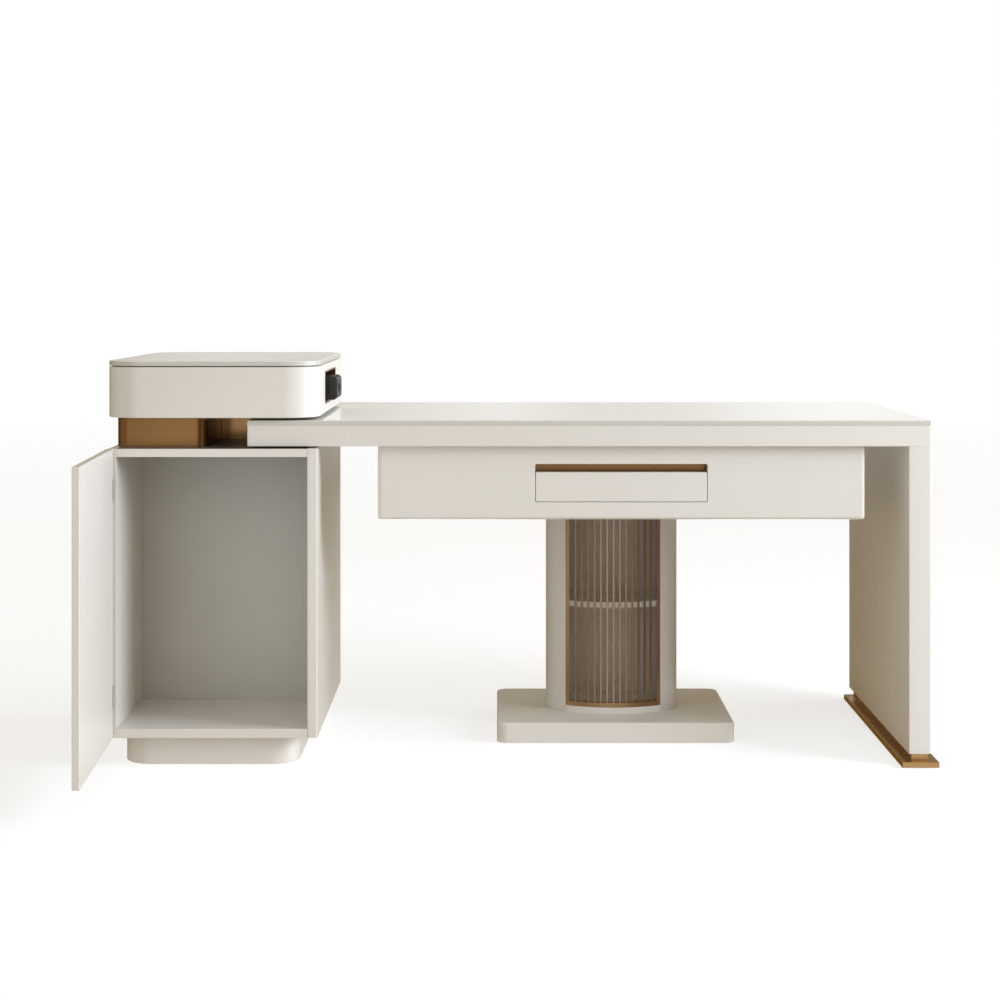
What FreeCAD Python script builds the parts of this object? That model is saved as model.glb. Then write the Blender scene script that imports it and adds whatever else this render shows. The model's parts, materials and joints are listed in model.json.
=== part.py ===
import FreeCAD, Part
import os
import re
import Sketcher
from FreeCAD import Placement, Rotation, Vector

# A manicure table: a desk with a glass top on one panel leg and an oval pedestal, a drawer in its
# apron, and a side cabinet with a raised glass-topped box that pulls out to lengthen the table.
# Millimetres, +X to the sitter's right, +Y away from the sitter, +Z up. The origin is the centre of
# the pedestal's foot, on the floor.

DIMENSIONS = {
    # desktop, measured from the pedestal's centre
    "desk_left": 811,
    "desk_right": 669,
    "desk_reach": 412,
    "desk_depth": 720,
    "desk_underside": 694,
    "desktop_thick": 46,
    "glass_thick": 10,
    "glass_overhang": 1,
    "edge_round": 2,
    # panel leg and its metal base
    "leg_thick": 48,
    "glide_thick": 2,
    "plate_thick": 12,
    "riser_tall": 14,
    "riser_inset": 6,
    "toe_inner": 17,
    "toe_outer": 15,
    "toe_end": 15,
    "heel_inset": 20,
    "dowel_radius": 5,
    "dowel_reach": 20,
    # apron
    "apron_width": 1060,
    "apron_setback": 20,
    "apron_depth": 600,
    "apron_tall": 161,
    "apron_front_thick": 20,
    "apron_board": 18,
    "apron_floor_thick": 15,
    "apron_round": 9,
    "apron_foot_round": 7,
    # drawer and its opening
    "opening_width": 375,
    "opening_tall": 83,
    "opening_rise": 38,
    "opening_gap": 1.2,
    "opening_corner": 4,
    "opening_bevel": 1,
    "finger_gap": 18,
    "drawer_front_thick": 18,
    "drawer_box_width": 350,
    "drawer_box_length": 364,
    "drawer_board": 12,
    "drawer_floor_thick": 6,
    "drawer_side_tall": 65,
    "channel_drop": 24,
    "channel_reach": 24,
    "channel_sheet": 1.5,
    "channel_inset": 0.3,
    "channel_headroom": 2,
    "runner_zone": 12.5,
    "rail_tall": 35,
    "rail_sheet": 1.5,
    "rail_play": 1,
    "rail_rise": 18,
    "rail_length": 350,
    # pedestal
    "slab_width": 542,
    "slab_depth": 391,
    "slab_top": 48,
    "slab_corner": 25,
    "slab_round": 5,
    "pad_thick": 2,
    "pad_inset": 14,
    "column_width": 310,
    "column_depth": 208,
    "column_wall": 15,
    "sill_tall": 15,
    "shelf_height": 292,
    "shelf_thick": 14,
    "grille_width": 221,
    "grille_stile": 8,
    "grille_rail": 11,
    "grille_inset": 1,
    "grille_deep": 14,
    "bar_width": 5,
    "bar_inset": 3,
    "bar_deep": 8,
    "bolt_radius": 4,
    "bolt_head_radius": 7.5,
    "bolt_head_tall": 6,
    "bolt_x": 60,
    "bolt_y": 40,
    "bolt_bite": 13,
    # side cabinet, measured from the pedestal's centre
    "cabinet_right": 658,
    "cabinet_width": 452,
    "cabinet_reach": 427,
    "cabinet_depth": 612,
    "cabinet_bottom": 66,
    "cabinet_top": 690,
    "left_board": 18,
    "right_board": 22,
    "top_board": 18,
    "bottom_board": 20,
    "back_board": 12,
    "inner_depth": 310,
    "stile_round": 3,
    "plinth_inset_left": 26,
    "plinth_inset_right": 45,
    "plinth_setback": 30,
    "plinth_depth": 550,
    "plinth_corner": 60,
    "plinth_wall": 18,
    "foot_thick": 3,
    "foot_radius": 18,
    # bronze spacer between cabinet and upper box
    "spacer_left_inset": 8,
    "spacer_width": 198,
    "spacer_setback": 50,
    "spacer_depth": 527,
    "spacer_corner": 27,
    "spacer_wall": 12,
    "block_reach": 150,
    "block_gap": 6,
    "block_round": 8,
    # upper box
    "box_bottom": 756,
    "box_top": 866,
    "box_left_over": 10,
    "box_depth": 687,
    "box_corner": 75,
    "box_wall": 18,
    "box_board": 12,
    "seam": 2.5,
    "box_glass": 10,
    "niche_front": 239,
    "niche_back": 39,
    "niche_bottom": 778,
    "niche_top": 849,
    "niche_depth": 70,
    "liner_sheet": 2.5,
    "rib_tall": 3,
    "rib_thick": 2,
    "gland_radius": 12,
    "gland_bore": 4,
    "gland_flange": 4,
    "gland_neck": 8,
    "gland_left": 110,
    "gland_height": 810,
    # power module that stands out of the niche
    "module_length": 120,
    "module_tall": 54,
    "module_deep": 67,
    "module_out": 21,
    "module_play": 0.5,
    "module_corner": 10,
    "socket_width": 96,
    "socket_tall": 30,
    "socket_deep": 3,
    # extending guide between desk and cabinet
    "track_left": 800,
    "track_length": 150,
    "track_width": 24,
    "track_tall": 12,
    "track_wall": 2,
    "track_slot": 10,
    "key_centre": 675,
    "key_length": 20,
    "key_stem": 8,
    "key_head": 16,
    "key_base_width": 34,
    "key_base_thick": 2,
    "key_rise": 7,
    "key_head_tall": 5,
    "strip_width": 20,
    "strip_tall": 3.5,
    # door and its hinges
    "door_width": 440,
    "door_thick": 15,
    "door_gap": 2,
    "door_round": 1.5,
    "door_angle": 87,
    "axis_inset": 5,
    "notch_tall": 50,
    "notch_reach": 11.5,
    "notch_skin": 2.5,
    "hinge_low": 130,
    "hinge_high": 576,
    "barrel_radius": 3.5,
    "barrel_tall": 23,
    "barrel_gap": 0.5,
    "pin_radius": 1.5,
    "pin_play": 0.05,
    "pin_tall": 20,
    "stud_radius": 2.2,
    "stud_bite": 24,
    "bumper_radius": 3,
    "bumper_inset": 4,
    "bumper_thick": 1.2,
}

GRILLE_BARS = 13
GUIDE_ROWS = {"front": -250, "rear": 90}

doc = FreeCAD.newDocument("ManicureTable")
sheet = doc.addObject("Spreadsheet::Sheet", "Dims")
for row, (alias, value) in enumerate(DIMENSIONS.items(), start=1):
    sheet.set(f"A{row}", alias)
    sheet.set(f"B{row}", str(value))
    sheet.setAlias(f"B{row}", alias)
doc.recompute()

subparts = []


# --- helpers -----------------------------------------------------------------------------------

def linked(text):
    """An expression with every dimension's name pointed at its cell."""
    return re.sub(r"[a-z_]+", lambda m: f"Dims.{m[0]}" if m[0] in DIMENSIONS else m[0], str(text))


def bind(thing, **expressions):
    """Tie properties to expressions; a double underscore in a name stands for a dot."""
    for name, text in expressions.items():
        thing.setExpression(name.replace("__", "."), linked(text))


def place(thing, x, y, z):
    bind(thing, Placement__Base__x=x, Placement__Base__y=y, Placement__Base__z=z)
    return thing


def keep(thing, label):
    """Name a finished sub-part."""
    thing.Label = label
    subparts.append(thing)
    return thing


def mirrored(sign, near, far):
    """The span between two distances from the centre plane, on one side of it."""
    if sign < 0:
        return (f"-({far})", f"-({near})")
    return (near, far)


def box(name, x, y, z):
    """A block between a low and a high expression along each axis."""
    block = doc.addObject("Part::Box", name)
    bind(block, Length=f"({x[1]}) - ({x[0]})")
    bind(block, Width=f"({y[1]}) - ({y[0]})")
    bind(block, Height=f"({z[1]}) - ({z[0]})")
    return place(block, x[0], y[0], z[0])


def cylinder(name, radius, length, x, y, z, direction=Vector(0, 0, 1)):
    """A round bar from a point along a direction."""
    bar = doc.addObject("Part::Cylinder", name)
    bar.Placement = Placement(Vector(), Rotation(Vector(0, 0, 1), direction))
    bind(bar, Radius=radius, Height=length)
    return place(bar, x, y, z)


def cut(name, base, tool):
    result = doc.addObject("Part::Cut", name)
    result.Base = base
    result.Tool = tool
    return result


def common(name, base, tool):
    result = doc.addObject("Part::Common", name)
    result.Base = base
    result.Tool = tool
    return result


def fuse(name, shapes):
    result = doc.addObject("Part::MultiFuse", name)
    result.Shapes = shapes
    return result


def group(name, shapes):
    """Separate solids that share one node."""
    result = doc.addObject("Part::Compound", name)
    result.Links = shapes
    return result


def rectangle(sketch, width, height, left=None, bottom=None):
    """A rectangle whose lower left corner is at the sketch's origin, or off it by left and bottom."""
    first = sketch.GeometryCount
    corners = [Vector(10, 10, 0), Vector(60, 10, 0), Vector(60, 60, 0), Vector(10, 60, 0)]
    for start, end in zip(corners, corners[1:] + corners[:1]):
        sketch.addGeometry(Part.LineSegment(start, end))
    for side in range(4):
        sketch.addConstraint(
            Sketcher.Constraint("Coincident", first + side, 2, first + (side + 1) % 4, 1))
        kind = "Horizontal" if side % 2 == 0 else "Vertical"
        sketch.addConstraint(Sketcher.Constraint(kind, first + side))
    sizes = [("DistanceX", first, 1, first, 2, width), ("DistanceY", first + 1, 1, first + 1, 2, height)]
    if left is None:
        sketch.addConstraint(Sketcher.Constraint("Coincident", first, 1, -1, 1))
    else:
        sizes.append(("DistanceX", -1, 1, first, 1, left))
        sizes.append(("DistanceY", -1, 1, first, 1, bottom))
    for kind, from_edge, from_end, to_edge, to_end, size in sizes:
        row = sketch.addConstraint(Sketcher.Constraint(kind, from_edge, from_end, to_edge, to_end, 20.0))
        sketch.setExpression(f"Constraints[{row}]", linked(size))


def sketch_on(body, role, name):
    """A sketch on one of a body's own origin planes."""
    sketch = body.newObject("Sketcher::SketchObject", name)
    plane = next(item for item in body.Origin.OriginFeatures if item.Role == role)
    sketch.AttachmentSupport = [(plane, "")]
    sketch.MapMode = "FlatFace"
    return sketch


def round_edges(body, picks, radius, name):
    """A fillet on the edges that a test picks from the body's last feature."""
    doc.recompute()
    base = body.Tip
    names = [f"Edge{number}" for number, edge in enumerate(base.Shape.Edges, start=1) if picks(edge)]
    fillet = body.newObject("PartDesign::Fillet", name)
    fillet.Base = (base, names)
    bind(fillet, Radius=radius)
    body.Tip = fillet


def panel(name, x, y, z, rounds=()):
    """A board: a rectangle padded upwards, then rounded. Each round is (test, radius)."""
    body = doc.addObject("PartDesign::Body", name)
    outline = sketch_on(body, "XY_Plane", name + "_outline")
    rectangle(outline, f"({x[1]}) - ({x[0]})", f"({y[1]}) - ({y[0]})")
    pad = body.newObject("PartDesign::Pad", name + "_pad")
    pad.Profile = outline
    bind(pad, Length=f"({z[1]}) - ({z[0]})")
    body.Tip = pad
    for number, (picks, radius) in enumerate(rounds, start=1):
        round_edges(body, picks, radius, f"{name}_round_{number}")
    return place(body, x[0], y[0], z[0])


def front_panel(name, x, y, z, opening=None):
    """A board that faces the sitter, drawn from the front, with an optional opening in it."""
    body = doc.addObject("PartDesign::Body", name)
    outline = sketch_on(body, "XZ_Plane", name + "_outline")
    rectangle(outline, f"({x[1]}) - ({x[0]})", f"({z[1]}) - ({z[0]})")
    if opening:
        rectangle(outline, *opening)
    pad = body.newObject("PartDesign::Pad", name + "_pad")
    pad.Profile = outline
    pad.Reversed = True
    bind(pad, Length=f"({y[1]}) - ({y[0]})")
    body.Tip = pad
    return place(body, x[0], y[0], z[0])


def along(edge, axis):
    """Whether a straight edge runs along an axis: 0 is X, 1 is Y and 2 is Z."""
    size = edge.BoundBox
    lengths = [size.XLength, size.YLength, size.ZLength]
    return edge.Curve.TypeId == "Part::GeomLine" and lengths[axis] > 0.99 * edge.Length


def upright(edge):
    return along(edge, 2)


def on_top(edge):
    """Whether an edge lies in the upper face of a board that starts at Z 0."""
    return edge.BoundBox.ZLength < 0.01 and edge.BoundBox.ZMin > 1


def rounded_block(name, x, y, z, corner):
    return panel(name, x, y, z, [(upright, corner)])


def rounded_ring(name, x, y, z, corner, wall):
    """A rounded rectangular wall, open above and below."""
    outer = rounded_block(name + "_outer", x, y, z, corner)
    inner_x = (f"({x[0]}) + {wall}", f"({x[1]}) - {wall}")
    inner_y = (f"({y[0]}) + {wall}", f"({y[1]}) - {wall}")
    inner = rounded_block(name + "_inner", inner_x, inner_y, z, f"{corner} - {wall}")
    return cut(name, outer, inner)


def oval(name, inset, z):
    """An upright oval block of the column's plan, drawn in by an inset."""
    outline = doc.addObject("Part::Ellipse", name + "_outline")
    bind(outline, MajorRadius=f"column_width / 2 - ({inset})")
    bind(outline, MinorRadius=f"column_depth / 2 - ({inset})")
    place(outline, "0", "0", z[0])
    block = doc.addObject("Part::Extrusion", name)
    block.Base = outline
    block.DirMode = "Custom"
    block.Dir = Vector(0, 0, 1)
    block.Solid = True
    bind(block, LengthFwd=f"({z[1]}) - ({z[0]})")
    return block


# --- shared levels and faces, as expressions -------------------------------------------------------

DESK_X = ("-desk_left", "desk_right")
DESK_Y = ("-desk_reach", "desk_depth - desk_reach")
DESK_TOP = "desk_underside + desktop_thick"
LEG_X = ("desk_right - leg_thick", "desk_right")
PLATE_TOP = "glide_thick + plate_thick"
LEG_BOTTOM = "glide_thick + plate_thick + riser_tall"
APRON_FRONT = "apron_setback - desk_reach"
APRON_BACK = "apron_setback - desk_reach + apron_depth"
APRON_INSIDE = "apron_setback - desk_reach + apron_front_thick"
APRON_BOTTOM = "desk_underside - apron_tall"
OPENING_BOTTOM = "desk_underside - apron_tall + opening_rise"
DRAWER_TOP = "desk_underside - apron_tall + opening_rise + opening_tall - finger_gap"
DRAWER_BACKSIDE = "apron_setback - desk_reach + drawer_front_thick"
DRAWER_FLOOR = "desk_underside - apron_tall + opening_rise + 2 * opening_gap"
COLUMN_Z = ("slab_top", APRON_BOTTOM)
CABINET_LEFT = "-cabinet_right - cabinet_width"
CABINET_INNER_X = (f"{CABINET_LEFT} + left_board", "-cabinet_right - right_board")
CABINET_Y = ("-cabinet_reach", "cabinet_depth - cabinet_reach")
SPACER_X = (f"{CABINET_LEFT} + spacer_left_inset", f"{CABINET_LEFT} + spacer_left_inset + spacer_width")
SPACER_Y = ("spacer_setback - cabinet_reach", "spacer_setback - cabinet_reach + spacer_depth")
BOX_X = (f"{CABINET_LEFT} - box_left_over", "-cabinet_right")
BOX_Y = ("-cabinet_reach", "box_depth - cabinet_reach")
GLASS_BOTTOM = "box_top + seam"
AXIS_X = f"{CABINET_LEFT} + axis_inset"
AXIS_Y = "-cabinet_reach - door_gap - door_thick / 2"


# --- desk ----------------------------------------------------------------------------------------

def desktop():
    board = panel("desktop_board", DESK_X, DESK_Y, ("desk_underside", DESK_TOP), [(upright, "edge_round")])
    grooves = [
        box(f"track_groove_{row}", ("-track_left", "track_length - track_left"),
            (f"{y} - track_width / 2", f"{y} + track_width / 2"),
            ("desk_underside - 1", "desk_underside + track_tall"))
        for row, y in GUIDE_ROWS.items()]
    cuts = fuse("desktop_cuts", grooves + dowels("desktop_dowel_hole"))
    keep(cut("desktop", board, cuts), "desktop_panel")
    glass_x = ("-desk_left - glass_overhang", "desk_right + glass_overhang")
    glass_y = ("-desk_reach - glass_overhang", "desk_depth - desk_reach + glass_overhang")
    soft = [(lambda edge: upright(edge) or on_top(edge), "edge_round")]
    keep(panel("glass_sheet", glass_x, glass_y, (DESK_TOP, f"{DESK_TOP} + glass_thick"), soft),
         "desktop_glass")


def dowels(name):
    """Four upright dowels where the leg meets the desktop."""
    rows = [f"-desk_reach + desk_depth * {number} / 5" for number in range(1, 5)]
    return [
        cylinder(f"{name}_{number}", "dowel_radius", "2 * dowel_reach", "desk_right - leg_thick / 2",
                 y, "desk_underside - dowel_reach")
        for number, y in enumerate(rows, start=1)]


def leg():
    board = panel("leg_board", LEG_X, DESK_Y, (LEG_BOTTOM, "desk_underside"), [(upright, "edge_round")])
    keep(cut("leg", board, fuse("leg_cuts", dowels("leg_dowel_hole"))), "right_leg_panel")
    keep(group("dowel_group", dowels("dowel")), "leg_dowels")
    riser_x = (f"{LEG_X[0]} + riser_inset", f"{LEG_X[1]} - riser_inset")
    riser_y = (f"{DESK_Y[0]} + riser_inset", f"{DESK_Y[1]} - heel_inset - riser_inset")
    keep(panel("riser", riser_x, riser_y, (PLATE_TOP, LEG_BOTTOM)), "leg_base_riser")
    plate_x = (f"{LEG_X[0]} - toe_inner", f"{LEG_X[1]} + toe_outer")
    plate_y = (f"{DESK_Y[0]} - toe_end", f"{DESK_Y[1]} - heel_inset")
    soft = [(lambda edge: upright(edge) or on_top(edge), "edge_round / 2")]
    keep(panel("base_plate", plate_x, plate_y, ("glide_thick", PLATE_TOP), soft), "leg_base_plate")
    glides = [
        cylinder(f"leg_glide_{number}", "foot_radius", "glide_thick", "desk_right - leg_thick / 2",
                 f"-desk_reach + desk_depth * {number} / 6", "0")
        for number in (1, 3, 5)]
    keep(group("leg_glide_group", glides), "leg_glides")


def inside_front(edge):
    """Whether an edge of the apron's front belongs to the drawer opening."""
    size = edge.BoundBox
    margin = DIMENSIONS["opening_rise"] / 2
    width = DIMENSIONS["apron_width"]
    tall = DIMENSIONS["apron_tall"]
    return (margin < size.XMin and size.XMax < width - margin
            and margin < size.ZMin and size.ZMax < tall - margin)


def apron():
    inside_y = (APRON_INSIDE, f"{APRON_BACK} - apron_board")
    half = "apron_width / 2"
    front_z = (APRON_BOTTOM, "desk_underside")
    opening = ("opening_width", "opening_tall", "(apron_width - opening_width) / 2", "opening_rise")
    front = front_panel("apron_face", (f"-{half}", half), (APRON_FRONT, APRON_INSIDE), front_z, opening)
    round_edges(front, lambda edge: upright(edge) and abs(edge.BoundBox.YMin) < 0.01
                and edge.Length > 150, "apron_round", "apron_face_corner_rounds")
    round_edges(front, lambda edge: edge.BoundBox.ZMax < 0.01 and edge.BoundBox.YMin < 15
                and not (along(edge, 0) and edge.BoundBox.YMin > 0.1) and not along(edge, 1),
                "apron_foot_round", "apron_face_foot_round")
    round_edges(front, lambda edge: along(edge, 1) and edge.BoundBox.ZMin > 1
                and 1 < edge.BoundBox.XMin < DIMENSIONS["apron_width"] - 1,
                "opening_corner", "apron_face_opening_corners")
    round_edges(front, lambda edge: edge.BoundBox.YMax < 0.01 and inside_front(edge),
                "opening_bevel", "apron_face_opening_bevel")
    keep(front, "apron_front")
    for side, sign in (("left", -1), ("right", 1)):
        x = mirrored(sign, f"{half} - apron_board", half)
        outer = 0 if sign < 0 else DIMENSIONS["apron_board"]
        foot = [(lambda edge, outer=outer: along(edge, 1) and edge.BoundBox.ZMax < 0.01
                 and abs(edge.BoundBox.XMin - outer) < 0.01, "apron_foot_round")]
        keep(panel(f"apron_{side}_board", x, inside_y, front_z, foot), f"apron_{side}_side")
        carrier_x = mirrored(sign, "drawer_box_width / 2 + runner_zone",
                             "drawer_box_width / 2 + runner_zone + apron_board")
        carrier_z = (f"{APRON_BOTTOM} + apron_floor_thick", "desk_underside")
        keep(box(f"carrier_{side}", carrier_x, inside_y, carrier_z), f"drawer_carrier_{side}")
    keep(box("apron_rear", (f"-{half}", half), (inside_y[1], APRON_BACK), front_z), "apron_back")
    floor_x = (f"-{half} + apron_board", f"{half} - apron_board")
    floor = box("apron_floor", floor_x, inside_y, (APRON_BOTTOM, f"{APRON_BOTTOM} + apron_floor_thick"))
    keep(cut("apron_floor_drilled", floor, fuse("apron_floor_holes", top_shanks("apron_hole"))),
         "apron_bottom")


def drawer():
    x = ("-opening_width / 2 + opening_gap", "opening_width / 2 - opening_gap")
    face = front_panel("drawer_face", x, (APRON_FRONT, DRAWER_BACKSIDE),
                       (f"{OPENING_BOTTOM} + opening_gap", DRAWER_TOP))
    round_edges(face, lambda edge: along(edge, 1), "opening_corner - edge_round / 2", "drawer_face_corners")
    round_edges(face, lambda edge: abs(edge.BoundBox.YMax) < 0.01, "opening_bevel", "drawer_face_round")
    keep(face, "drawer_front")
    web = f"{DRAWER_BACKSIDE} + channel_reach"
    channel_z = (f"{DRAWER_TOP} - channel_drop",
                 f"{OPENING_BOTTOM} + opening_tall - channel_headroom")
    channel_x = (f"{x[0]} + channel_inset", f"{x[1]} - channel_inset")
    solid = box("channel_block", channel_x, (DRAWER_BACKSIDE, f"{web} + channel_sheet"), channel_z)
    hollow = box("channel_hollow", (f"{channel_x[0]} - 1", f"{channel_x[1]} + 1"),
                 (f"{DRAWER_BACKSIDE} - 1", web),
                 (f"{channel_z[0]} + channel_sheet", f"{channel_z[1]} + 1"))
    keep(cut("channel", solid, hollow), "finger_pull_channel")
    side_z = (DRAWER_FLOOR, f"{DRAWER_FLOOR} + drawer_side_tall")
    length_y = (DRAWER_BACKSIDE, f"{DRAWER_BACKSIDE} + drawer_box_length")
    for side, sign in (("left", -1), ("right", 1)):
        side_x = mirrored(sign, "drawer_box_width / 2 - drawer_board", "drawer_box_width / 2")
        board = box(f"drawer_side_{side}", side_x, length_y, side_z)
        notch = box(f"drawer_notch_{side}", side_x, (DRAWER_BACKSIDE, f"{web} + channel_sheet"),
                    (channel_z[0], f"{side_z[1]} + 1"))
        keep(cut(f"drawer_side_{side}_cut", board, notch), f"drawer_{side}_side")
        drawer_slide(side, sign)
    inner_x = ("drawer_board - drawer_box_width / 2", "drawer_box_width / 2 - drawer_board")
    floor_z = (DRAWER_FLOOR, f"{DRAWER_FLOOR} + drawer_floor_thick")
    keep(box("drawer_floor", inner_x, length_y, floor_z), "drawer_bottom")
    back_y = (f"{length_y[1]} - drawer_board", length_y[1])
    keep(box("drawer_rear", inner_x, back_y, (floor_z[1], side_z[1])), "drawer_back")


def drawer_slide(side, sign):
    """A channel on the carrier and the runner on the drawer that slides in it."""
    near = "drawer_box_width / 2"
    far = "drawer_box_width / 2 + runner_zone"
    rail_z = (f"{DRAWER_FLOOR} + rail_rise - rail_tall / 2", f"{DRAWER_FLOOR} + rail_rise + rail_tall / 2")
    rail_y = (f"{APRON_INSIDE} + 2", f"{APRON_INSIDE} + 2 + rail_length")
    rail = box(f"rail_{side}_block", mirrored(sign, f"{near} + rail_play", far), rail_y, rail_z)
    hollow = box(f"rail_{side}_hollow", mirrored(sign, f"{near} - 1", f"{far} - rail_sheet"),
                 (f"{rail_y[0]} - 1", f"{rail_y[1]} + 1"),
                 (f"{rail_z[0]} + rail_sheet", f"{rail_z[1]} - rail_sheet"))
    keep(cut(f"rail_{side}", rail, hollow), f"drawer_rail_{side}")
    runner_z = (f"{rail_z[0]} + rail_sheet + rail_play", f"{rail_z[1]} - rail_sheet - rail_play")
    runner_y = (f"{rail_y[0]} + 4", f"{rail_y[1]} - 8")
    runner_far = f"{far} - rail_sheet - rail_play"
    runner = box(f"runner_{side}_block", mirrored(sign, near, runner_far), runner_y, runner_z)
    groove = box(f"runner_{side}_groove", mirrored(sign, f"{near} + 2 * rail_sheet", f"{runner_far} + 1"),
                 (f"{runner_y[0]} - 1", f"{runner_y[1]} + 1"),
                 (f"{runner_z[0]} + 3 * rail_sheet", f"{runner_z[1]} - 3 * rail_sheet"))
    keep(cut(f"runner_{side}", runner, groove), f"drawer_runner_{side}")


# --- pedestal --------------------------------------------------------------------------------------

def shanks(name, z):
    """Four upright bolt shanks between two levels."""
    return [
        cylinder(f"{name}_{number}", "bolt_radius", f"({z[1]}) - ({z[0]})", f"{side} * bolt_x",
                 f"{end} * bolt_y", z[0])
        for number, (side, end) in enumerate(((-1, -1), (1, -1), (-1, 1), (1, 1)), start=1)]


def top_shanks(name):
    return shanks(name, (f"{COLUMN_Z[1]} - sill_tall", f"{COLUMN_Z[1]} + bolt_bite"))


def foot_shanks(name):
    return shanks(name, ("slab_top - bolt_bite", "slab_top + sill_tall"))


def bolts():
    """Eight bolts whose heads are inside the column: four into the slab and four into the apron."""
    heads = {"foot": "slab_top + sill_tall", "top": f"{COLUMN_Z[1]} - sill_tall - bolt_head_tall"}
    finished = []
    for level, shank_maker in (("foot", foot_shanks), ("top", top_shanks)):
        for number, shank in enumerate(shank_maker(f"{level}_shank"), start=1):
            head = doc.addObject("Part::Prism", f"{level}_head_{number}")
            bind(head, Circumradius="bolt_head_radius", Height="bolt_head_tall")
            side = -1 if number % 2 else 1
            end = -1 if number < 3 else 1
            place(head, f"{side} * bolt_x", f"{end} * bolt_y", heads[level])
            finished.append(fuse(f"{level}_bolt_{number}", [shank, head]))
    keep(group("bolt_group", finished), "column_bolts")


def pedestal():
    slab_x = ("-slab_width / 2", "slab_width / 2")
    slab_y = ("-slab_depth / 2", "slab_depth / 2")
    rounds = [(upright, "slab_corner"), (on_top, "slab_round")]
    slab = panel("slab", slab_x, slab_y, ("pad_thick", "slab_top"), rounds)
    keep(cut("slab_drilled", slab, fuse("slab_holes", foot_shanks("slab_hole"))), "pedestal_base_slab")
    pad_x = (f"{slab_x[0]} + pad_inset", f"{slab_x[1]} - pad_inset")
    pad_y = (f"{slab_y[0]} + pad_inset", f"{slab_y[1]} - pad_inset")
    keep(rounded_block("floor_pad", pad_x, pad_y, ("0", "pad_thick"), "slab_corner - pad_inset"),
         "pedestal_floor_pad")


def column_shell(name):
    """The oval wall with its front opening cut away."""
    wall = cut(f"{name}_wall", oval(f"{name}_outer", "0", COLUMN_Z),
               oval(f"{name}_inner", "column_wall", COLUMN_Z))
    opening = box(f"{name}_opening", ("-grille_width / 2", "grille_width / 2"),
                  ("-column_depth", "0"), COLUMN_Z)
    return cut(name, wall, opening)


def column():
    half = "grille_width / 2"
    beyond = "column_depth"
    for side, sign in (("left", -1), ("right", 1)):
        half_space = box(f"wall_{side}_space", mirrored(sign, half, "column_width"),
                         (f"-{beyond}", beyond), COLUMN_Z)
        keep(common(f"wall_{side}", column_shell(f"shell_{side}"), half_space), f"column_wall_{side}")
    back_space = box("back_space", (f"-{half}", half), ("0", beyond), COLUMN_Z)
    keep(common("rear_wall", column_shell("shell_rear"), back_space), "column_back")
    ends = {
        "floor": (("slab_top", "slab_top + sill_tall"), foot_shanks),
        "top": ((f"{COLUMN_Z[1]} - sill_tall", COLUMN_Z[1]), top_shanks),
    }
    for level, (z, shank_maker) in ends.items():
        plate = cut(f"{level}_plate", oval(f"{level}_oval", "0", z), column_shell(f"{level}_shell"))
        holes = fuse(f"{level}_holes", shank_maker(f"{level}_hole"))
        keep(cut(f"{level}_drilled", plate, holes), f"column_{level}")
    keep(oval("shelf", "column_wall", ("shelf_height", "shelf_height + shelf_thick")), "column_shelf")
    grille()


def grille():
    """A curved metal frame in the column's front opening, with upright bars across its window."""
    frame_z = ("slab_top + sill_tall", f"{COLUMN_Z[1]} - sill_tall")
    window_z = (f"{frame_z[0]} + grille_rail", f"{frame_z[1]} - grille_rail")
    curved = cut("frame_arc", oval("frame_outer", "grille_inset", frame_z),
                 oval("frame_inner", "grille_inset + grille_deep", frame_z))
    face = box("frame_space", ("-grille_width / 2", "grille_width / 2"), ("-column_depth", "0"), frame_z)
    window_half = "grille_width / 2 - grille_stile"
    window = box("frame_window", (f"-({window_half})", window_half), ("-column_depth", "0"), window_z)
    keep(cut("frame", common("frame_face", curved, face), window), "grille_frame")
    bar_arc = cut("bar_arc", oval("bar_outer", "bar_inset", window_z),
                  oval("bar_inner", "bar_inset + bar_deep", window_z))
    pitch = f"(grille_width - 2 * grille_stile) / {GRILLE_BARS + 1}"
    slots = []
    for number in range(GRILLE_BARS):
        middle = f"{pitch} * {number - GRILLE_BARS // 2}"
        slots.append(box(f"bar_{number + 1}", (f"{middle} - bar_width / 2", f"{middle} + bar_width / 2"),
                         ("-column_depth", "0"), window_z))
    keep(common("bars", bar_arc, fuse("bar_slots", slots)), "grille_bars")


# --- side cabinet ----------------------------------------------------------------------------------

def carcass():
    z = ("cabinet_bottom", "cabinet_top")
    right_x = ("-cabinet_right - right_board", "-cabinet_right")
    left = box("left_side", (CABINET_LEFT, CABINET_INNER_X[0]), CABINET_Y, z)
    keep(cut("left_side_drilled", left, fuse("stud_holes", carcass_studs("stud_hole"))),
         "cabinet_left_panel")
    stile = [(lambda edge: upright(edge) and edge.BoundBox.YMax < 0.01, "stile_round")]
    keep(panel("right_side", right_x, CABINET_Y, z, stile), "cabinet_right_panel")
    keep(box("carcass_top", CABINET_INNER_X, CABINET_Y, ("cabinet_top - top_board", "cabinet_top")),
         "cabinet_top_panel")
    keep(box("carcass_bottom", CABINET_INNER_X, CABINET_Y,
             ("cabinet_bottom", "cabinet_bottom + bottom_board")), "cabinet_bottom_panel")
    inner_z = ("cabinet_bottom + bottom_board", "cabinet_top - top_board")
    inner_y = ("inner_depth - cabinet_reach", "inner_depth - cabinet_reach + back_board")
    keep(box("inner_back", CABINET_INNER_X, inner_y, inner_z), "cabinet_inner_back")
    outer_y = (f"{CABINET_Y[1]} - back_board", CABINET_Y[1])
    keep(box("outer_back", CABINET_INNER_X, outer_y, inner_z), "cabinet_outer_back")


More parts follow.
